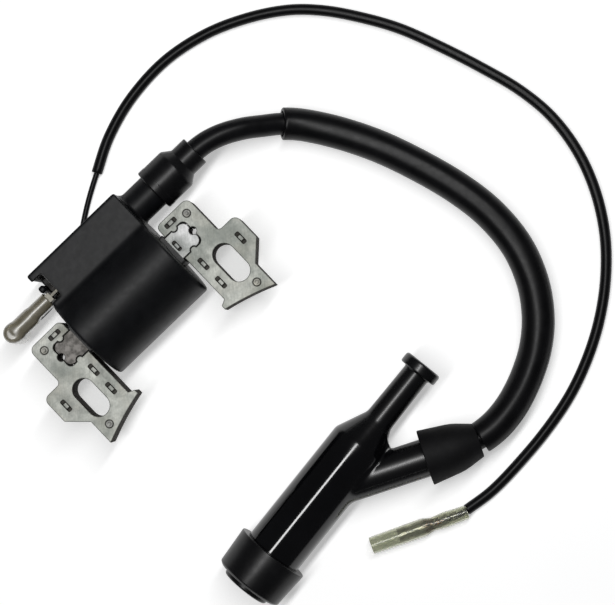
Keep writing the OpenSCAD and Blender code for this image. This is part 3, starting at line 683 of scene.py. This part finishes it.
ROW = Matrix.Identity(4)
HT_ROUTE = [
    [21.8, 20.5, 14.6], [33, 20.5, 14.6], [46, 20.5, 14.6], [53.5, 19, 14], [60.5, 15.8, 11.9],
    [66.3, 12, 8.8], [71.2, 8.4, 6.4], [76, 3.2, 5.3], [82, -6, 5.2], [88, -17.8, 5.2],
    [92.9, -31, 5.2], [96.6, -44.5, 5.2], [98.3, -57, 5.2], [97.3, -69.5, 5.2], [93.2, -80.8, 5.3],
    [87, -89.8, 5.5], [79.5, -96.4, 6.3], [71.2, -101, 8], [63, -103.9, 10.1], [56, -105.1, 11.5],
    [50.5, -105, 11.9], [45.5, -103.9, 11.9], [40, -101.5, 11.9], [33, -98.2, 11.9], [24.1, -94, 11.9],
]
SLEEVE_FIRST, SLEEVE_LAST = 6, 20
LEAD_D, SLEEVE_D = 7.0, 10.3
STOP_ROUTE = [
    [-33.6, 18.5, 16.5], [-33.6, 18.5, 8], [-33.2, 18.5, 4.6], [-31.6, 18.5, 2.2], [-28.5, 18.5, 1],
    [-22, 18.6, 0.95], [-15, 19.8, 0.95], [-8, 22.4, 0.95], [-1.5, 26.4, 0.95], [4.6, 30.9, 0.95],
    [11, 35, 1.2], [18.2, 38.9, 1.8], [29, 44.5, 1.8], [42.5, 48.4, 1.8], [58, 49.4, 1.8],
    [73, 46.6, 1.8], [86, 41.1, 1.8], [97, 34, 1.8], [105, 26, 1.8], [112, 16.2, 1.8],
    [118.4, 5, 1.8], [123.6, -8, 1.8], [128.2, -21.6, 1.8], [131.9, -35, 1.8], [133.3, -48, 1.8],
    [131.6, -61.3, 1.8], [127, -74, 1.8], [119.8, -85.8, 1.8], [110.8, -95.6, 1.8], [100.6, -103.6, 1.8],
    [89.4, -109.9, 1.8], [77, -114.7, 1.8], [63.6, -117.6, 1.8], [50, -119.1, 1.8], [39, -119.5, 1.8],
    [30.4, -118.5, 2.2], [26.2, -117.7, 2.9], [22.1, -115.9, 3],
]
TUBE_FIRST, TUBE_LAST = 11, 35
WIRE_D, TUBE_D = 1.8, 3.5
STEPS = 8


def full(path, r):
    return np.full(len(path), r)


def make_ht_lead():
    path = smooth_path(HT_ROUTE, STEPS)
    lead = make_piece("ht_lead_wire", *swept(path, full(path, LEAD_D / 2), 32, 0.04, 2), ROW, JACKET, 60)
    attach(lead, "root")
    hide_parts("ht_lead")
    part = path[SLEEVE_FIRST * STEPS:SLEEVE_LAST * STEPS + 5]
    tube = swept_tube(part, full(part, SLEEVE_D / 2 - 0.02), full(part, SLEEVE_D / 2 - 1.15), 40, 0.05, 5)
    sleeve = make_piece("ht_lead_tubing", *tube, ROW, SLEEVE, 50)
    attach(sleeve, "root")
    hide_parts("ht_lead_sleeve")
    return lead, sleeve, path


def make_stop_wire():
    path = smooth_path(STOP_ROUTE, STEPS)
    wire = make_piece("stop_wire_lead", *swept(path, full(path, WIRE_D / 2), 16, 0.02, 3), ROW, JACKET, 60)
    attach(wire, "root")
    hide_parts("stop_wire")
    part = path[TUBE_FIRST * STEPS:TUBE_LAST * STEPS + 3]
    tube = swept_tube(part, full(part, TUBE_D / 2 - 0.01), full(part, TUBE_D / 2 - 0.5), 24, 0.03, 7)
    sleeve = make_piece("stop_wire_tubing", *tube, ROW, SLEEVE, 50)
    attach(sleeve, "root")
    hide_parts("stop_wire_tube")
    return wire, sleeve, path


ht_lead, ht_sleeve, ht_path = make_ht_lead()
stop_wire, stop_tube, stop_path = make_stop_wire()

# ---------------------------------------------------------------- the laminated core

CORE_HALF = 5.5
LAYERS = 22
POLE_R, POLE_Y = 90.0, -97.13
LOCKS = [(24.9, 21.8, 0), (37.3, 3.5, 90), (23.5, 5.6, 90), (23.5, -2.2, 90)]
RIVETS = [(30.5, 20.5), (31.5, -9.8)]
HEAD_X, NECK_X = 28.2, 24.4
LOCK_HOLE_R = 1.2
EDGE = 0.22


def stack_levels(half, layers, edge=EDGE):
    """The side of a stack of sheets, as (inset, z): each sheet's edge stands a little proud."""
    levels = [(edge, -half), (edge * 0.35, -half + edge * 0.3), (0.0, -half + edge)]
    pitch = 2 * half / layers
    for k in range(1, layers):
        z = -half + k * pitch
        levels += [(0.0, z - 0.1), (0.05, z), (0.0, z + 0.1)]
    return levels + [(0.0, half - edge), (edge * 0.35, half - edge * 0.3), (edge, half)]


def bar_end(grow, corner, hole_side):
    """The outline of the bar's right head, from its lower neck to its upper one.
    hole_side is -1 where the locking hole cuts into the bar and 1 where it cuts into the leg."""
    y = 4.25 + grow
    r = 1.3 - grow
    reach = math.sqrt(r * r - (4.65 - y) ** 2)
    a = math.degrees(math.atan2(4.65 - y, reach))
    lower = arc(NECK_X, -4.65, r, 180 - a, a, 8)
    x = HEAD_X + grow
    corner_arc = arc(x - corner, -y + corner, corner, -90, 0, 8)
    hole = arc(HEAD_X, 0, LOCK_HOLE_R, -84, 84, 8) if hole_side > 0 else arc(HEAD_X, 0, LOCK_HOLE_R, 264, 96, 8)
    half = lower + corner_arc
    whole = half + hole + [(px, -py) for px, py in half[::-1]]
    return [(px, py + BAR_Y) for px, py in whole]


def leg_outline():
    inner_x, outer_x, ear_x, pole_x, toe_x = 20.6, 33.9, 41.1, 35.2, 18.6
    outside = rounded([
        (inner_x, 24.0, 1.8), (outer_x, 24.0, 2.2), (outer_x, 9.8, 1.4), (ear_x, 9.8, 2.2),
        (ear_x, 0.3, 0.5), (pole_x, -5.4, 0.6), (pole_x, -14.25),
    ], closed=False)
    corner = rounded([(inner_x, 20.0), (inner_x, 24.0, 1.8), (outer_x, 24.0)])[1:-1]
    steps = 14
    pole = []
    for i in range(1, steps):
        x = pole_x + (toe_x - pole_x) * i / steps
        pole.append((x, POLE_Y + math.sqrt(POLE_R ** 2 - x * x)))
    toe = rounded([(toe_x, -9.1), (toe_x, -7.6, 0.35), (inner_x, -6.7, 0.5), (inner_x, 0)])
    head = bar_end(0.16, 1.6, 1)
    return corner + outside[1:] + pole + toe[:-1] + [(inner_x, head[0][1])] + head + [(inner_x, head[-1][1])]


def slot_loop():
    run = 3.3
    return ([(30 + x, run + y) for x, y in arc(0, 0, 3.5, 0, 180, 16)]
            + [(30 + x, -run + y) for x, y in arc(0, 0, 3.5, 180, 360, 16)])


def lock_loop(x, y, turn, length=4.3, width=1.55):
    r = 0.45
    w, h = (length / 2, width / 2) if turn == 0 else (width / 2, length / 2)
    return rounded([(x - w, y - h, r), (x + w, y - h, r), (x + w, y + h, r), (x - w, y + h, r)], closed=True)


def lock_depth(x, y, loop):
    """Deep at both ends, with a worn bridge in the middle."""
    xs, ys = [p[0] for p in loop], [p[1] for p in loop]
    cx, cy = (min(xs) + max(xs)) / 2, (min(ys) + max(ys)) / 2
    wide = max(xs) - min(xs) > max(ys) - min(ys)
    along, across = (x - cx, y - cy) if wide else (y - cy, x - cx)
    t = min(1.0, max(0.0, (abs(along) - 0.75) / 0.55))
    t = t * t * (3 - 2 * t)
    return 0.10 + 0.08 * (across / 0.7) ** 2 + 0.62 * t


def mirrored(points):
    return [(-p[0], *p[1:]) for p in points]


def make_legs():
    outline = leg_outline()
    holes = [slot_loop()] + [arc(x, y, 1.25, 0, 360, 20)[:-1] for x, y in RIVETS]
    recesses = [lock_loop(*lock) for lock in LOCKS]
    for side, name in ((1, "right"), (-1, "left")):
        flip = mirrored if side < 0 else list
        parts = plate(flip(outline), [flip(h) for h in holes], stack_levels(CORE_HALF, LAYERS),
                      [flip(r) for r in recesses], lock_depth)
        leg = make_piece("leg_laminations_" + name, *parts, COIL, LAMINATIONS, 20)
        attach(leg, "root")
        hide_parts("core_leg_" + name)


def make_bar():
    end = bar_end(0.0, 2.1, -1)
    outline = end + mirrored(end)[::-1]
    outline = [p for i, p in enumerate(outline) if math.dist(p, outline[i - 1]) > 0.01]
    recess = [lock_loop(21.4, BAR_Y, 90, 3.6, 1.4)]
    parts = plate(outline, [], stack_levels(CORE_HALF, LAYERS), recess, lock_depth)
    bar = make_piece("bar_laminations", *parts, COIL, BRIGHT, 20)
    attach(bar, "root")
    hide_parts("core_bar")


def make_rivets():
    """Rivets with a peened, slightly dished end."""
    profile = [(-5.65, 0.0), (-5.65, 0.9), (-5.5, 1.22), (5.5, 1.22),
               (5.6, 1.12), (5.65, 0.85), (5.52, 0.55), (5.5, 0.0)]
    points, faces = turned([(x, max(r, 0.01)) for x, r in profile], 24)
    parts = []
    for side in (1, -1):
        for x, y in RIVETS:
            parts.append(([(side * x - p[2], y + p[1], p[0]) for p in points], faces))
    rivets = make_piece("core_rivet_ends", *joined(*parts), COIL, RIVET, 40)
    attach(rivets, "root")
    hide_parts("core_rivets")


make_legs()
make_bar()
make_rivets()

# ---------------------------------------------------------------- the moulded case

DRUM_R, DRUM_END, POD_END = 15.8, 18.8, 18.2
POD_FAR, POD_HALF, WALL = 40.0, 11.5, 1.8
CAVITY_END, CAVITY_R = 17.2, 13.8
TOWER_Y, TOWER_R, TOWER_END, TOWER_FLOOR = 33.35, 5.7, 37.2, 21.0
NOTCH = ((-25, 28.6, -3), (-14.2, 37.6, 20))


def case_distance(p):
    drum = d_rod(p, -DRUM_END, DRUM_END, BAR_Y, 0, DRUM_R, 0.9)
    pod = d_box(p, (-POD_END, BAR_Y, -POD_HALF), (DRUM_END, POD_FAR, POD_HALF), 0.7)
    d = blended(drum, pod, 0.9)
    d = np.maximum(d, -14.6 - p[..., 2])
    pad = d_box(p, (-18.2, 24.6, 0), (-15.8, 28.4, 11.1), 0.5)
    d = blended(d, pad, 0.4)
    tower = d_rod(p, DRUM_END - 4, TOWER_END, TOWER_Y, 0, TOWER_R, 0.4)
    d = blended(d, tower, 1.6)
    d = cut_by(d, d_rod(p, -DRUM_END - 3, CAVITY_END, BAR_Y, 0, CAVITY_R), 0.3)
    pod_low = (-POD_END - 3, BAR_Y, WALL - POD_HALF)
    pod_high = (CAVITY_END, POD_FAR - WALL, POD_HALF - WALL)
    d = cut_by(d, d_box(p, pod_low, pod_high, 0.3), 0.3)
    d = cut_by(d, d_box(p, *NOTCH, 0.6), 0.35)
    d = cut_by(d, d_box(p, (10, 9.8, -6.8), (25, 20.9, 6.8), 0.8), 0.2)
    d = cut_by(d, d_rod(p, TOWER_FLOOR, TOWER_END + 3, TOWER_Y, 0, LEAD_D / 2 + 0.1), 0.2)
    post = d_box(p, (-19.3, 33.9, 0.5 - POD_HALF), (-17.2, 36.1, 3), 0.7)
    return blended(d, post, 0.3)


def make_case():
    points, faces = surface_of(case_distance, (-19.4, -0.5, -14.7), (37.3, 40.1, 15.9), 0.5)
    case = make_piece("coil_housing", points, faces, COIL, CASE, 40)
    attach(case, "root")
    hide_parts("coil_case")


make_case()

# ---------------------------------------------------------------- turned rubber and plastic parts


def turned_piece(name, profile, place, material, body, nodes, sides=96, shift=(0, 0, 0), angle=40):
    """A ring-shaped part from a closed profile of (x, radius, corner radius)."""
    points, faces = turned(rounded(profile, closed=True), sides, closed=True)
    points = [(x + shift[0], y + shift[1], z + shift[2]) for x, y, z in points]
    piece = make_piece(name, points, faces, place, material, angle)
    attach(piece, body)
    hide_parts(*nodes)
    return piece


tower_cap = turned_piece(
    "tower_bell", [
        (27.8, 5.75, 0.1), (27.8, 7.2, 0.5), (30.2, 7.2, 0.2), (30.5, 7.1, 0.2), (37.6, 7.1, 1.4),
        (40.4, 5.05, 0.7), (45.7, 5.05, 0.35), (45.7, 3.56, 0.1), (37.3, 3.56, 0.1), (37.3, 5.75, 0.1),
    ], COIL, RUBBER, "root", ["tower_cap"], shift=(0, TOWER_Y, 0))
lead_seal = turned_piece(
    "lead_boot", [
        (33.8, 7.6, 0.1), (33.8, 8.8, 0.35), (35.4, 8.6, 0.3), (44.5, 7.65, 16),
        (51.3, 5.3, 0.3), (51.3, 4.25, 0.15),
        (40.1, 4.25, 0.2), (40.1, 6.03, 0.1), (35.2, 6.03, 0.2), (34.2, 7.6, 0.1),
    ], ARM, MATTE, "plug_cap", ["lead_seal"])
plug_boot = turned_piece(
    "mouth_boot", [
        (-23.8, 9.34, 0.1), (-23.8, 11.9, 0.3), (-35.6, 11.2, 0.7), (-36.3, 10.3, 0.3), (-36.2, 7.9, 0.2),
        (-38.0, 7.9, 0.7), (-38.0, 6.2, 0.3), (-34.98, 6.2, 0.2), (-34.98, 9.34, 0.1),
    ], CAP, RUBBER, "boot", ["plug_boot"])

# ---------------------------------------------------------------- the plug cap

ARM_ANGLE = -math.radians(32.8)
BARREL_R, ARM_R, STUB_R, GRIP_R = 9.3, 6.0, 4.35, 6.4
CAP_PROFILE = rounded([
    (-35, 0), (-35, BARREL_R, 0.3), (18.8, BARREL_R, 3.0), (28.6, STUB_R + 0.25, 4.0), (47.3, STUB_R, 0.5),
    (47.3, GRIP_R, 0.5), (50.8, GRIP_R, 0.9), (50.8, 0),
])
BORE_PROFILE = rounded([(-36, 0), (-36, 7.0), (-14, 7.0), (-14, 4.3), (4, 4.3), (4, 0)])


def arm_points(p):
    """Points in the arm's frame, from points in the cap's."""
    c, s = math.cos(ARM_ANGLE), math.sin(ARM_ANGLE)
    return np.stack([p[..., 0] * c + p[..., 1] * s, -p[..., 0] * s + p[..., 1] * c, p[..., 2]], axis=-1)


def cap_distance(p):
    barrel = d_turned(p, CAP_PROFILE)
    q = arm_points(p)
    arm = d_rod(q, 0, 40, 0, 0, ARM_R, 0.3)
    web = np.maximum(
        d_outline(p[..., 0], p[..., 1], [(12, -2), (29, -2), (25.6, -5.4), (22.4, -11.5), (12, -9)]),
        np.abs(p[..., 2]) - 2.6)
    d = blended(barrel, arm, 0.9)
    d = blended(d, web, 0.8)
    d = cut_by(d, d_turned(p, BORE_PROFILE), 0.1)
    return cut_by(d, d_rod(q, 25, 45, 0, 0, LEAD_D / 2 + 0.2), 0.1)


def make_cap():
    body = surface_of(cap_distance, (-35.1, -28, -9.4), (50.9, 9.4, 9.4), 0.5)
    # the fine ridge that the mould's parting leaves along the arm
    c, s = math.cos(ARM_ANGLE), math.sin(ARM_ANGLE)
    line = np.array([(x * c + 3.0 * s, x * s - 3.0 * c, 5.17) for x in np.linspace(6, 36, 16)])
    cap = make_piece("plug_cap_moulding", *joined(body, swept(line, full(line, 0.14), 8)), CAP, PHENOLIC, 40)
    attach(cap, "plug_cap")
    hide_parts("plug_cap_body")
    return cap


plug_cap = make_cap()

# ---------------------------------------------------------------- the bullet connector

bullet_sleeve = turned_piece(
    "bullet_cover", [
        (0, 2.3, 0.1), (0, 2.7, 0.15), (10, 2.85, 8), (17.2, 2.9, 1.5), (20.2, 2.12, 1.2), (24.2, 2.5, 3),
        (28, 2.3, 4), (31.8, 2.2, 0.15), (31.8, 1.8, 0.1), (28, 1.95, 2), (24.6, 2.1, 2), (20.2, 1.9, 1.0),
        (18.8, 2.45, 1.0), (9, 2.4, 5),
    ], BULLET, CLEAR, "root", ["bullet_sleeve"], 64)


# the open neck and the two crimps: start, end, radius, thickness and the angle left open
BENT_STRIPS = [(20.2, 22.8, 1.83, 0.3, 170), (22.8, 25.4, 1.8, 0.75, 24), (26.2, 28.4, 1.58, 0.45, 20)]


def make_bullet():
    barrel = turned(rounded([
        (9, 1.97, 0.1), (9, 2.28, 0.15), (11.9, 2.36, 0.15), (12.4, 2.04, 0.12),
        (13.4, 2.04, 0.12), (13.9, 2.36, 0.15),
        (18.6, 2.28, 0.3), (19.6, 1.83, 0.3), (20.4, 1.83), (20.4, 1.5), (18.4, 1.5), (18.4, 1.97, 0.1),
    ], closed=True), 48, closed=True)
    parts = [barrel]
    for x0, x1, r, t, open_deg in BENT_STRIPS:
        loop = []
        a0, a1 = 90 + open_deg / 2, 450 - open_deg / 2
        loop += arc(0, 0, r, a0, a1, 28)
        loop += arc(0, 0, r - t, a1, a0, 28)
        n = len(loop)
        rows = [(x0, 0.08), (x0 + 0.08, 0), (x1 - 0.08, 0), (x1, 0.08)]
        ring = anticlockwise(loop)
        points, faces = [], []
        for x, d in rows:
            points += [(x, u, v) for u, v in inset(ring, d)]
        for k in range(len(rows) - 1):
            for i in range(n):
                j = (i + 1) % n
                faces.append([k * n + i, k * n + j, (k + 1) * n + j, (k + 1) * n + i])
        for row, up in ((0, False), (len(rows) - 1, True)):
            flat = [(points[row * n + i][1], points[row * n + i][2]) for i in range(n)]
            for t3 in fill(flat):
                t3 = [row * n + i for i in t3]
                faces.append(t3 if up else t3[::-1])
        parts.append((points, faces))
    bullet = make_piece("bullet_barrel", *joined(*parts), BULLET, TIN, 40)
    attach(bullet, "root")
    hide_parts("bullet_receptacle")
    return bullet


def make_strands():
    """Seven bare copper strands, lightly twisted."""
    parts = []
    for k in range(7):
        r = 0.0 if k == 0 else 0.44
        start = k * math.pi / 3
        xs = np.linspace(20.9, 24.4, 14)
        a = start + (xs - 20.9) * 0.5
        path = np.stack([xs, r * np.cos(a), r * np.sin(a)], axis=1)
        parts.append(swept(path, full(path, 0.2), 8))
    strands = make_piece("copper_strands", *joined(*parts), BULLET, COPPER, 60)
    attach(strands, "root")
    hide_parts("wire_strands")
    return strands


bullet = make_bullet()
strands = make_strands()

# ---------------------------------------------------------------- the stop terminal's sleeve

FLAG_X, TAB_Y, TAB_Z = -33.6, 31.35, 2.4


def d_stadium(p, x0, x1, w, h, r, shift=0.0):
    """A bar along X with a stadium section, w wide along Y and h tall."""
    z = np.clip(p[..., 2] - TAB_Z, -(h - w) / 2, (h - w) / 2)
    ring = np.hypot(p[..., 1] - TAB_Y - shift, p[..., 2] - TAB_Z - z) - w / 2
    q = np.stack([np.abs(p[..., 0] - (x0 + x1) / 2) - (x1 - x0) / 2 + r, ring + r], axis=-1)
    return np.linalg.norm(np.maximum(q, 0), axis=-1) + np.minimum(q.max(axis=-1), 0) - r


def flag_distance(p):
    tube = d_stadium(p, FLAG_X, -18.9, 4.9, 7.7, 0.3)
    bulge = d_stadium(p, FLAG_X, -25.5, 5.5, 7.7, 1.2, -0.3)
    body = blended(tube, bulge, 1.2)
    lobe = d_turned(np.stack([p[..., 2], p[..., 0] - FLAG_X + 0.25, p[..., 1] - TAB_Y + 0.2], axis=-1),
                    rounded([(-7.1, 0), (-7.1, 3.5, 0.4), (0, 3.4, 3), (6.3, 3.1, 1.6), (6.3, 0)]))
    d = blended(body, lobe, 0.9)
    d = cut_by(d, d_stadium(p, FLAG_X, -18, 4.0, 6.9, 0.3), 0.1)
    q = np.stack([p[..., 2], p[..., 0] - FLAG_X, p[..., 1] - TAB_Y], axis=-1)
    return cut_by(d, d_rod(q, -9, 5.5, 0, 0, 2.4, 0.5), 0.1)


def make_flag():
    points, faces = surface_of(flag_distance, (-37.5, 27.5, -7.2), (-18.8, 34.6, 6.4), 0.22)
    flag = make_piece("flag_cover", points, faces, COIL, MILKY, 40)
    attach(flag, "root")
    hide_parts("flag_sleeve")


make_flag()

# ---------------------------------------------------------------- CAD nodes that stay

LOOKS = {
    "potting_resin": RESIN, "primary_bobbin": BOBBIN, "secondary_bobbin": BOBBIN,
    "primary_winding": COPPER, "secondary_winding": COPPER, "circuit_board": BOARD,
    "power_transistor": BLACK_PART, "board_components": TAN, "ht_contact": BRASS,
    # the stop tab and the flag terminal take the metals darkened with painted shade
    "stop_tab": NOTCH_SHADE_TAB, "flag_terminal": NOTCH_SHADE_BLADE, "plug_terminal": BRASS, "terminal_clip": TIN, "lead_screw": TIN,
}
for node, look in LOOKS.items():
    mesh = frame["nodes"][node].data
    mesh.materials.clear()
    mesh.materials.append(look)


# ---------------------------------------------------------------- floor, light


def make_floor():
    size, drop = 3.0, 0.00003
    n = Nodes("pale_floor")
    tone = n.ramp(n.noise(0.01, detail=2.0), (0.3, (0.86, 0.86, 0.86)), (0.7, (0.9, 0.9, 0.9)))
    n.set(Emission_Color=(1.0, 1.0, 1.0), Emission_Strength=0.42)
    material = n.set(Base_Color=tone, Roughness=0.7, Specular_IOR_Level=0.2)
    points = [(x * size / MM, y * size / MM, -drop / MM) for x, y in ((-1, -1), (1, -1), (1, 1), (-1, 1))]
    floor = make_piece("floor", points, [[0, 1, 2, 3]], ROW, material)


def strip_light(name, at, along, length, width, power):
    """A long lamp that faces down, with its length along a level direction."""
    data = bpy.data.lights.new(name, "AREA")
    data.shape = "RECTANGLE"
    data.size, data.size_y, data.energy = length, width, power
    light = bpy.data.objects.new(name, data)
    light.location = at
    light.rotation_euler = (0, 0, math.atan2(along[1], along[0]))
    bpy.context.scene.collection.objects.link(light)


def make_light():
    """One strip lamp overhead, and a dim even surround."""
    world = bpy.data.worlds.new("studio")
    world.use_nodes = True
    world.node_tree.nodes["Background"].inputs[0].default_value = (0.95, 0.97, 1.0, 1)
    world.node_tree.nodes["Background"].inputs[1].default_value = 0.07
    bpy.context.scene.world = world
    strip_light("key", (0.13, 0.053, 0.75), (0.991, 0.131), 0.9, 0.085, 4.6)


make_floor()
make_light()
